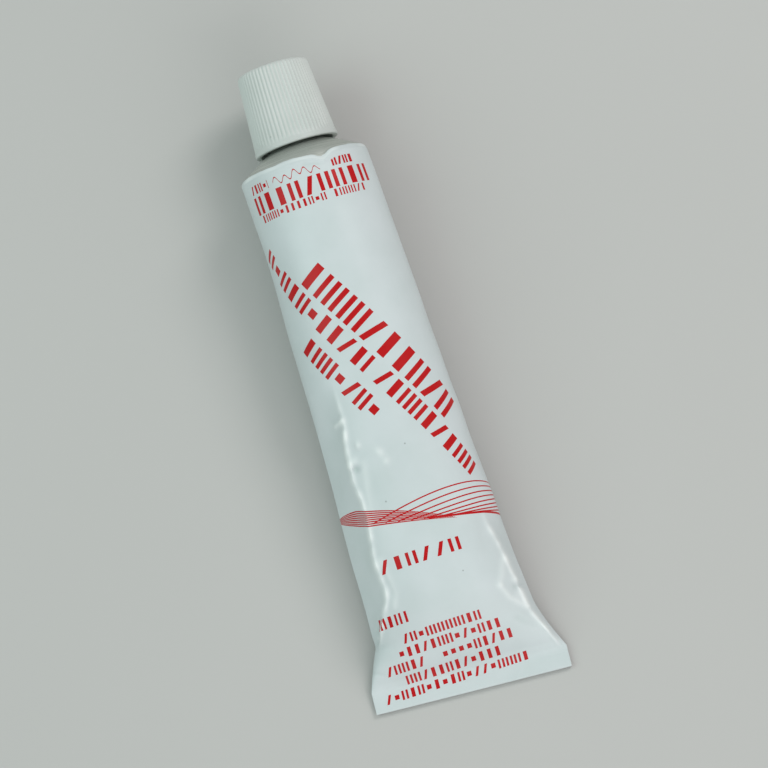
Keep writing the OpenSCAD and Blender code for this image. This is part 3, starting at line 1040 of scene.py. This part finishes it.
def fan_lines(q, v):
    foot_line = FAN_V + q * FAN_SLOPE - q * q * FAN_BEND
    lines = (abs(v - foot_line) < LINE_W * 0.8) * (q > 2) * (q < FAN_RIGHT + 1)
    for k in range(FAN_LINES):
        start = FAN_LEFT + FAN_STEP * k
        late = k / FAN_LINES
        x = held01((q - start) / (FAN_RIGHT - start))
        swell = ((x * 1.32).math("MINIMUM", 1.0) * (math.pi / 2)).math("SINE")
        rise = mix(swell, x * x, late) * (FAN_RISE - FAN_FALL * k)
        off = abs(foot_line - rise - v) < LINE_W / 2
        lines = lines.math("MAXIMUM", off * (q > start) * (q < FAN_RIGHT + 1))
    return lines


print("lines in the ribbon", LENS_LINES + FAN_LINES + 1)

# %% [markdown]
# Gloss lacquer is a thin coat, so its bump is tiny: a slight orange peel, and the ink standing a
# hair's breadth above it. Highlight is painted on the ridges and bumps and round the shoulder's
# edge, and shade with some dirt in the dimples and grooves, as the relief attribute of the mesh
# tells, and a few dark specks lie where the photograph has them. The bare cone is dull with age,
# so it isn't wholly metallic, and it shows the rings of the tool that turned it.

# %% Colours and scales of the tube
LACQUER = (0.625, 0.680, 0.690, 1)
LACQUER_SHADE = (0.55, 0.618, 0.613, 1)
# Painted highlight on what stands proud: ridges, bumps, crease beads and the shoulder's edge
LACQUER_PAINTED_HIGHLIGHT = (0.88, 0.92, 0.91, 1)
# Painted shade with some dirt in what lies deep: dimples, grooves and crease ends
LACQUER_PAINTED_SHADE_AND_DIRT = (0.40, 0.49, 0.46, 1)
INK = (0.49, 0.001, 0.003, 1)
INK_THIN = (0.55, 0.006, 0.010, 1)
BARE = (0.43, 0.46, 0.42, 1)
BARE_LIGHT = (0.68, 0.70, 0.66, 1)
SPECKS = [(2.0, 68.9, 0.26), (-6.1, 79.9, 0.28), (5.7, 99.9, 0.24)]
SPECK = (0.12, 0.13, 0.12, 1)
METAL_SHARE, LACQUER_SHINE = 0.7, 0.28

# Scale of each noise on the sheet, whose unit is a millimetre, and heights of the bumps in mm
CLOUDS, GRAIN, PEEL, EDGE_WAVES = 0.09, 0.9, 0.8, 0.35
PEEL_RISE, INK_RISE, RING_RISE = 0.006, 0.012, 0.014
print("ink stands", INK_RISE, "mm high, specks", len(SPECKS))

# %% [markdown]
# Every material of the object is made with the same few helpers and ends in one Principled
# shader. Its specular level is a plain value on the shader, because it is the same all over.

# %% Helpers for materials
def new_material(name):
    material = bpy.data.materials.new(name)
    material.use_nodes = True
    material.node_tree.nodes.clear()
    return material, material.node_tree


def mix_colour(tree, share, a, b):
    return Wire.node(tree, "ShaderNodeMix", {"data_type": "RGBA"},
                     {"Factor_Float": share, "A_Color": a, "B_Color": b}, output="Result_Color")


def noise(tree, vector, scale, detail=3.0, roughness=0.5):
    return Wire.node(tree, "ShaderNodeTexNoise", inputs={
        "Vector": vector, "Scale": scale, "Detail": detail, "Roughness": roughness}, output="Fac")


def attribute_value(tree, name):
    return Wire.node(tree, "ShaderNodeAttribute", {"attribute_name": name}, output="Fac")


def sheet_vector(tree, q, v, scale_q=1.0, scale_v=1.0):
    return Wire.node(tree, "ShaderNodeCombineXYZ", inputs={"X": q * scale_q, "Y": v * scale_v})


def specks_on(q, v, places):
    """Mask of small round specks, each given as q, v and radius on the sheet."""
    total = q * 0
    for speck_q, speck_v, size in places:
        far = ((q - speck_q) ** 2 + (v - speck_v) ** 2).math("SQRT")
        total = total.math("MAXIMUM", held01((size - far) / size * 1.4))
    return total


def finish_surface(tree, colour, roughness, metallic, height, bump_distance, shine=0.5):
    bump = Wire.node(tree, "ShaderNodeBump", inputs={
        "Height": height, "Distance": bump_distance, "Strength": 1.0})
    shader = Wire.node(tree, "ShaderNodeBsdfPrincipled", inputs={
        "Base Color": colour, "Roughness": roughness, "Metallic": metallic, "Normal": bump,
        "Specular IOR Level": shine})
    Wire.node(tree, "ShaderNodeOutputMaterial", inputs={"Surface": shader}, output=None)


print("materials so far", len(bpy.data.materials))

# %% [markdown]
# All of the print is one mask: the ribbon, the rows and a thin wave line that stands where a line
# of script would be. Where masks meet, the higher one counts, so nothing is inked twice.

# %% The mask of the print
FLOURISH_V, FLOURISH_FROM, FLOURISH_TO, FLOURISH_HALF = 3.2, -8.3, 3.3, 0.15


def print_mask(q, v):
    ink = lens_lines(q, v).math("MAXIMUM", fan_lines(q, v))
    for row in PRINT_ROWS:
        ink = ink.math("MAXIMUM", mark_row(q, v, *row))
    ink = ink.math("MAXIMUM", centred_rows(q, v))
    wave = ((q + 2.0) * 2.6).math("SINE") * 0.75 + (q * 0.9).math("SINE") * 0.3
    flourish = abs(v - FLOURISH_V - wave) < FLOURISH_HALF
    flourish = flourish * (q > FLOURISH_FROM) * (q < FLOURISH_TO)
    return ink.math("MAXIMUM", flourish)


print("the wave line is", round(FLOURISH_TO - FLOURISH_FROM, 1), "mm long")

# %% [markdown]
# The colours are laid over each other in this order: lacquer with slow clouds, painted highlight,
# painted shade with some dirt, the specks, the ink, and bare metal beyond the wavy line.

# %% The tube's material
def tube_material():
    material, tree = new_material("lacquer_print_and_bare_metal")
    sheet = Wire.node(tree, "ShaderNodeUVMap", {"uv_map": "sheet"})
    q = Wire.node(tree, "ShaderNodeSeparateXYZ", inputs={0: sheet})
    v = q.also("Y")
    ink = print_mask(q, v)

    flow = sheet_vector(tree, q, v)
    cloudy = noise(tree, flow, CLOUDS)
    grainy = noise(tree, flow, GRAIN, detail=2.0)
    peel = noise(tree, flow, PEEL, detail=0.0)
    edge_line = (noise(tree, flow, EDGE_WAVES) - 0.5) * 0.7 - 0.95
    bare = v < edge_line

    lacquer = mix_colour(tree, held01((cloudy - 0.35) * 1.6), LACQUER, LACQUER_SHADE)
    relief = attribute_value(tree, "relief")
    # Painted highlight where relief stands proud
    lacquer = mix_colour(tree, held01(relief * 1.5), lacquer, LACQUER_PAINTED_HIGHLIGHT)
    # Painted shade, with some dirt, where relief lies deep
    lacquer = mix_colour(tree, held01(relief * -1.2), lacquer, LACQUER_PAINTED_SHADE_AND_DIRT)
    lacquer = mix_colour(tree, specks_on(q, v, SPECKS) * 0.55, lacquer, SPECK)
    inked = mix_colour(tree, held01((grainy - 0.5) * 1.2), INK, INK_THIN)
    printed = mix_colour(tree, ink, lacquer, inked)
    streaky = noise(tree, sheet_vector(tree, q, v, 0.03, 2.4), 1.0, detail=4.0, roughness=0.7)
    metal = mix_colour(tree, held01((streaky - 0.35) * 3), BARE, BARE_LIGHT)
    colour = mix_colour(tree, bare, printed, metal)

    roughness = 0.35 + (cloudy - 0.5) * 0.14 + (grainy - 0.5) * 0.06 + bare * 0.08
    rings = (v * 21).math("SINE") * 0.5 + (v * 47 + grainy * 3).math("SINE") * 0.3
    height = peel * PEEL_RISE + ink * INK_RISE * (1 - bare) + rings * RING_RISE * bare
    finish_surface(tree, colour, roughness, bare * METAL_SHARE, height, MM, LACQUER_SHINE)
    return material


tube_finish = tube_material()
print("nodes in the tube's material", len(tube_finish.node_tree.nodes))

# %% [markdown]
# Now the tube gets its thread and its material in one go: the tree ends in Set Material.

# %% Finish the tube
apply_tree(tube, thread_tree, tube_finish, thread_values(THREAD_HEIGHT, 0.0))
tube.data.transform(TUBE_PLACE)
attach(tube, "tube")
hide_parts("tube")
print("tube with its thread: faces", len(tube.data.polygons))

# %% [markdown]
# ## The cap
# A cap like this is moulded in one shot: an outer shell with a plain lip and a fluted wall, an
# inner socket with the thread, a web between them, and above the web a shallow well with a
# pointed spike, which pierces the tube's sealed mouth when the cap is turned round. Every part
# of it but the spike is round, so the whole wall, inside and out, is one profile turned once. The
# Spin tool could turn it, but the helper for rows also gives the UV maps and the attributes.

# %% Sizes of the cap
CAP_TOP_R, CAP_H, CAP_EDGE_R = 8.4, 19.2, 1.0
LIP_H, LIP_OUT, CAP_WALL = 1.0, 0.15, 1.1
SOCKET_R, SOCKET_WALL = 5.9, 1.1
SOCKET_LIFT, WEB_T, SPIKE_R, SPIKE_TIP_R, SPIKE_INSET = 0.7, 1.4, 1.6, 0.2, 0.6
WALL_FOOT_R = CAP_BASE_R - LIP_OUT
RING_W, CEILING_POLE_R = 0.4, 0.3
WELL_R = CAP_TOP_R - CAP_EDGE_R - RING_W
WELL_FLOOR = SOCKET_DEPTH + WEB_T
socket_mouth = (TUBE_R - SOCKET_R) * math.tan(SLOPE) + SOCKET_LIFT - CAP_RIM_Y
taper = math.degrees(math.atan((WALL_FOOT_R - CAP_TOP_R) / (CAP_H - CAP_EDGE_R - LIP_H)))
pocket_top_r = mix(WALL_FOOT_R, CAP_TOP_R, SOCKET_DEPTH / CAP_H) - CAP_WALL
R1, R2 = 0.15, 0.3
top_centre = (CAP_TOP_R - CAP_EDGE_R, CAP_H - CAP_EDGE_R)
wall_top = arc(top_centre, CAP_EDGE_R, taper, 90, 1)[0]
SOCKET_OUT = SOCKET_R + SOCKET_WALL
print("taper of the wall", round(taper, 2), "degrees, socket's mouth at", round(socket_mouth, 2), "mm")

# %% [markdown]
# The profile starts in the middle of the socket's ceiling, runs down the socket and up its
# outside, along the pocket and down the wall's inside, round the lip, up the fluted wall and over
# the top edge into the well, and ends on the spike. Each stretch has a name, so that the flutes
# and the thread can be told where to run.

# %% Profile of the cap
stretches = {
    "ceiling": line((CEILING_POLE_R, SOCKET_DEPTH), (SOCKET_R - R2, SOCKET_DEPTH), 4),
    "corner": arc((SOCKET_R - R2, SOCKET_DEPTH - R2), R2, 90, 0, 4),
    "socket": line((SOCKET_R, SOCKET_DEPTH - R2), (SOCKET_R, socket_mouth + R1), 44),
    "mouth": arc((SOCKET_R + R1, socket_mouth + R1), R1, 180, 270, 3),
    "mouth_out": arc((SOCKET_OUT - R1, socket_mouth + R1), R1, 270, 360, 3),
    "sleeve_out": line((SOCKET_OUT, socket_mouth + R1), (SOCKET_OUT, SOCKET_DEPTH - R1), 6),
    "pocket": line((SOCKET_OUT + R1, SOCKET_DEPTH), (pocket_top_r - R1, SOCKET_DEPTH), 3),
    "wall_in": line((pocket_top_r, SOCKET_DEPTH - R1), (WALL_FOOT_R - CAP_WALL, R1), 8),
    "rim_in": arc((WALL_FOOT_R - CAP_WALL + R1, R1), R1, 180, 270, 3),
    "rim_out": arc((CAP_BASE_R - R2, R2), R2, 270, 360, 5),
    "lip": line((CAP_BASE_R, R2), (CAP_BASE_R, LIP_H - R1), 3),
    "lip_top": arc((CAP_BASE_R - R1, LIP_H - R1), R1, 0, 75, 3),
    "wall": line((WALL_FOOT_R, LIP_H + LIP_OUT), wall_top, 30),
    "edge": arc(top_centre, CAP_EDGE_R, taper, 90, 9),
    "ring": line((CAP_TOP_R - CAP_EDGE_R, CAP_H), (WELL_R + R1, CAP_H), 2),
    "well_edge": arc((WELL_R + R1, CAP_H - R1), R1, 90, 180, 3),
    "well": line((WELL_R, CAP_H - R1), (WELL_R, WELL_FLOOR + R2), 6),
    "well_foot": arc((WELL_R - R2, WELL_FLOOR + R2), R2, 0, -90, 4),
    "well_floor": line((WELL_R - R2, WELL_FLOOR), (SPIKE_R + 0.25, WELL_FLOOR), 5),
    "spike": line((SPIKE_R, WELL_FLOOR + 0.1), (SPIKE_TIP_R, CAP_H - SPIKE_INSET), 8),
    "tip": np.array([[SPIKE_TIP_R, CAP_H - SPIKE_INSET], [SPIKE_TIP_R * 0.6, CAP_H - SPIKE_INSET + 0.08]]),
}
profile = np.concatenate(list(stretches.values()))
part_of = np.concatenate([[name] * len(points) for name, points in stretches.items()])
print("points of the cap's profile", len(profile))

# %% [markdown]
# The spike is the one part that isn't round: it has four sides. Its rows are drawn in from a
# circle to a square, by dividing the radius by the cosine of the angle to the nearest side.

# %% Rows of the cap
CAP_COLUMNS = FLUTE_COUNT * 10
cap_angle = np.radians(-90 + 360 * np.arange(CAP_COLUMNS) / CAP_COLUMNS)
square = math.cos(math.pi / 4) / np.cos((cap_angle % (math.pi / 2)) - math.pi / 4)
is_spike = np.isin(part_of, ["spike", "tip"])[:, None]
cap_r = profile[:, :1] * np.where(is_spike, square, 1.0)
cap_rows = np.stack([
    cap_r * np.cos(cap_angle),
    np.repeat(profile[:, 1:] + CAP_RIM_Y, CAP_COLUMNS, axis=1),
    cap_r * np.sin(cap_angle),
], axis=-1)
cap_v = np.concatenate([[0], np.cumsum(np.linalg.norm(np.diff(profile, axis=0), axis=1))])
cap_sheet_v = cap_v[:, None] + np.zeros(CAP_COLUMNS + 1)
cap_sheet_q = CAP_BASE_R * (math.pi / 2 - np.append(cap_angle, cap_angle[0] + math.tau)) + 0 * cap_sheet_v
print("rows and columns of the cap", cap_rows.shape[:2])

# %% [markdown]
# The flutes fade in above the lip and out over the rounded top edge, and the thread fades at both
# ends of the socket, as a moulded one does. The profile starts inside the socket, so the finished
# faces are flipped once to point outwards, and a volume above zero shows that they do.

# %% The cap's mesh
FLUTES_FADE_IN, FLUTES_FADE_OUT, FLUTES_PAST_TOP = 1.4, 0.9, 0.12
SOCKET_FADE, BELOW_CEILING, ABOVE_MOUTH = 0.8, 1.2, 0.5
on_wall = np.isin(part_of, ["wall", "edge"])
fluted = smooth((profile[:, 1] - LIP_H - LIP_OUT) / FLUTES_FADE_IN)
fluted *= smooth((CAP_H + FLUTES_PAST_TOP - profile[:, 1]) / FLUTES_FADE_OUT) * on_wall
in_socket = part_of == "socket"
threaded = smooth((SOCKET_DEPTH - BELOW_CEILING - profile[:, 1]) / SOCKET_FADE)
threaded *= smooth((profile[:, 1] - socket_mouth - ABOVE_MOUTH) / SOCKET_FADE)
whole = np.zeros((len(profile), CAP_COLUMNS))
cap = mesh_from_rows("screw_cap", cap_rows, cap_sheet_q, cap_sheet_v, {
    "flute_share": whole + fluted[:, None],
    "thread_share": whole + (threaded * in_socket)[:, None],
})
cap.data.flip_normals()
print("cap: faces", len(cap.data.polygons), "volume", round(volume_ml(cap), 2), "ml")

# %% [markdown]
# ## Cap plastic and foam
# The cap is satin polyethylene, a slightly green white. The flutes' pattern, which the node tree
# stored on the mesh, also darkens the colour in the grooves. A texture for that would need
# painting by hand, while the pattern fits the grooves exactly.

# %% The cap's material
PLASTIC = (0.605, 0.637, 0.615, 1)
PLASTIC_SHADE = (0.53, 0.58, 0.545, 1)
CAP_SPECKS = [(6.9, 35.2, 0.2), (6.4, 37.6, 0.16), (-5.4, 41.0, 0.22)]


def cap_material():
    material, tree = new_material("cap_plastic")
    sheet = Wire.node(tree, "ShaderNodeUVMap", {"uv_map": "sheet"})
    q = Wire.node(tree, "ShaderNodeSeparateXYZ", inputs={0: sheet})
    v = q.also("Y")
    flow = Wire.node(tree, "ShaderNodeTexCoord", output="Object")
    groove = attribute_value(tree, "flute_pattern")
    cloudy = noise(tree, flow, 180.0)
    grainy = noise(tree, flow, 1500.0, detail=4.0)
    shade = held01((cloudy - 0.4) * 0.8 + groove * 0.25)
    colour = mix_colour(tree, shade, PLASTIC, PLASTIC_SHADE)
    colour = mix_colour(tree, specks_on(q, v, CAP_SPECKS) * 0.5, colour, SPECK)
    roughness = 0.42 + (cloudy - 0.5) * 0.16 + (grainy - 0.5) * 0.1
    height = grainy * 0.010 + cloudy * 0.05
    finish_surface(tree, colour, roughness, 0.0, height, MM)
    return material


cap_finish = cap_material()
print("nodes in the cap's material", len(cap_finish.node_tree.nodes))

# %% [markdown]
# The flutes and the thread are two trees run one after the other on the same mesh. The cap's
# thread has a height below zero, because it points in, and a phase of half a pitch.

# %% Finish the cap
apply_tree(cap, flute_tree, cap_finish, {
    "Count": FLUTE_COUNT, "Sharpness": FLUTE_SHARPNESS, "Depth": FLUTE_DEPTH})
apply_tree(cap, thread_tree, cap_finish, thread_values(-THREAD_HEIGHT, 0.5))
cap.data.transform(TUBE_PLACE)
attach(cap, "cap")
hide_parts("cap")
print("cap with flutes and thread: faces", len(cap.data.polygons))

# %% [markdown]
# The sealing disc under the web is pale foam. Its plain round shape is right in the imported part,
# so it keeps that mesh and only gets a better material: fine cells, whose borders are slightly
# darker and a hair's breadth higher.

# %% The disc's material
FOAM, FOAM_SHADE = (0.74, 0.74, 0.70, 1), (0.60, 0.60, 0.56, 1)
FOAM_CELLS = 3500.0


def disc_material():
    material, tree = new_material("disc_foam")
    flow = Wire.node(tree, "ShaderNodeTexCoord", output="Object")
    cells = Wire.node(tree, "ShaderNodeTexVoronoi", inputs={"Vector": flow, "Scale": FOAM_CELLS},
                      output="Distance")
    colour = mix_colour(tree, cells, FOAM, FOAM_SHADE)
    finish_surface(tree, colour, 0.85 - cells * 0.1, 0.0, cells * 0.06, MM)
    return material


disc_node = frame["nodes"]["cap_disc"]
disc_node.data.materials.clear()
disc_node.data.materials.append(disc_material())
print("faces of the disc", len(disc_node.data.polygons))

# %% [markdown]
# ## Floor, camera and light
# The tube lies on a plain pale floor, a little darker than the lacquer. It is a single face, a
# fifth of a millimetre under the tube's lowest point, so that the two never lie in one plane.

# %% Floor
FLOOR_HALF, FLOOR_Z = 2.5, -0.0002
FLOOR_COLOUR, FLOOR_LIGHT = (0.50, 0.495, 0.48, 1), (0.53, 0.525, 0.51, 1)
floor_mesh = bpy.data.meshes.new("floor")
floor_corners = [(-1, -1), (1, -1), (1, 1), (-1, 1)]
floor_mesh.from_pydata(
    [(x * FLOOR_HALF, y * FLOOR_HALF, FLOOR_Z) for x, y in floor_corners], [], [(0, 1, 2, 3)])
floor = bpy.data.objects.new("floor", floor_mesh)
bpy.context.scene.collection.objects.link(floor)
floor_finish, floor_tree = new_material("pale_floor")
floor_flow = Wire.node(floor_tree, "ShaderNodeTexCoord", output="Object")
floor_cloud = noise(floor_tree, floor_flow, 6.0)
finish_surface(
    floor_tree, mix_colour(floor_tree, floor_cloud, FLOOR_COLOUR, FLOOR_LIGHT),
    0.7, 0.0, floor_cloud, MM * 0.1)
floor_mesh.materials.append(floor_finish)
print("floor", 2 * FLOOR_HALF, "m across")

# %% [markdown]
# The camera looks almost straight down with a long lens, leans a little towards the folded end,
# and is rolled so that the cap points up and to the left. The lens follows from the distance and
# from how many pixels of the picture a millimetre takes up.

# %% Camera
PHOTO_SIDE, SENSOR = 768, 36
VIEW_UP_DEG, ROLL_DEG = 78.0, 18.17
PIXELS_PER_MM = 4.413
CAMERA_FAR = 0.95
TARGET = Vector((0.001956, -0.002524, 0.012))

lean = math.radians(VIEW_UP_DEG)
roll = math.radians(ROLL_DEG)
towards_camera = Vector((0, -math.cos(lean), math.sin(lean)))
level_right = Vector((1, 0, 0))
level_up = towards_camera.cross(level_right)
picture_up = math.cos(roll) * level_up + math.sin(roll) * level_right
picture_right = math.cos(roll) * level_right - math.sin(roll) * level_up
camera_data = bpy.data.cameras.new("camera")
camera_data.sensor_width = SENSOR
camera_data.lens = SENSOR * PIXELS_PER_MM * (CAMERA_FAR / MM) / PHOTO_SIDE
camera_data.clip_start = 0.01
camera = bpy.data.objects.new("camera", camera_data)
bpy.context.scene.collection.objects.link(camera)
turned_axes = Matrix((picture_right, picture_up, towards_camera)).transposed()
camera.matrix_world = Matrix.LocRotScale(TARGET + towards_camera * CAMERA_FAR, turned_axes, None)
bpy.context.scene.camera = camera
print("lens", round(camera_data.lens, 1), "mm")

# %% [markdown]
# A soft lamp to the upper right of the picture gives the light its direction, a broad one at the
# lower right lights the folded end, and a slightly green one fills from the left, which leaves the
# flattened left side of the tube cooler and darker. A pale sky takes the edge off the shadows.

# %% Lamps
def lamp(name, direction, distance, size, power, colour):
    """A square soft lamp that looks at the tube from a direction given in the picture."""
    data = bpy.data.lights.new(name, "AREA")
    data.size = size
    data.energy = power
    data.color = colour
    lamp_object = bpy.data.objects.new(name, data)
    bpy.context.scene.collection.objects.link(lamp_object)
    right_part, up_part, front_part = direction
    aim = picture_right * right_part + picture_up * up_part + towards_camera * front_part
    aim.normalize()
    lamp_object.location = TARGET + aim * distance
    lamp_object.rotation_euler = aim.to_track_quat("Z", "Y").to_euler()


lamp("key", (0.50, 0.90, 0.80), 0.8, 0.3, 2.0, (1.0, 0.99, 0.975))
lamp("low", (0.60, -0.90, 0.95), 0.8, 0.8, 2.8, (1.0, 0.99, 0.985))
lamp("fill", (-1.0, 0.1, 0.9), 0.9, 0.7, 2.4, (0.73, 1.0, 0.93))
print("lamps", len(bpy.data.lights))

# %% [markdown]
# The sky is one even colour. The Standard view transform shows the colours as they are worked
# out, without the softer contrast that suits bright outdoor scenes.

# %% Sky and view
SKY, SKY_STRENGTH = (0.97, 0.99, 1.0, 1), 0.45
world = bpy.data.worlds.new("studio")
world.use_nodes = True
world_back = world.node_tree.nodes["Background"]
world_back.inputs["Color"].default_value = SKY
world_back.inputs["Strength"].default_value = SKY_STRENGTH
bpy.context.scene.world = world
bpy.context.scene.view_settings.view_transform = "Standard"
print("strength of the sky", SKY_STRENGTH)
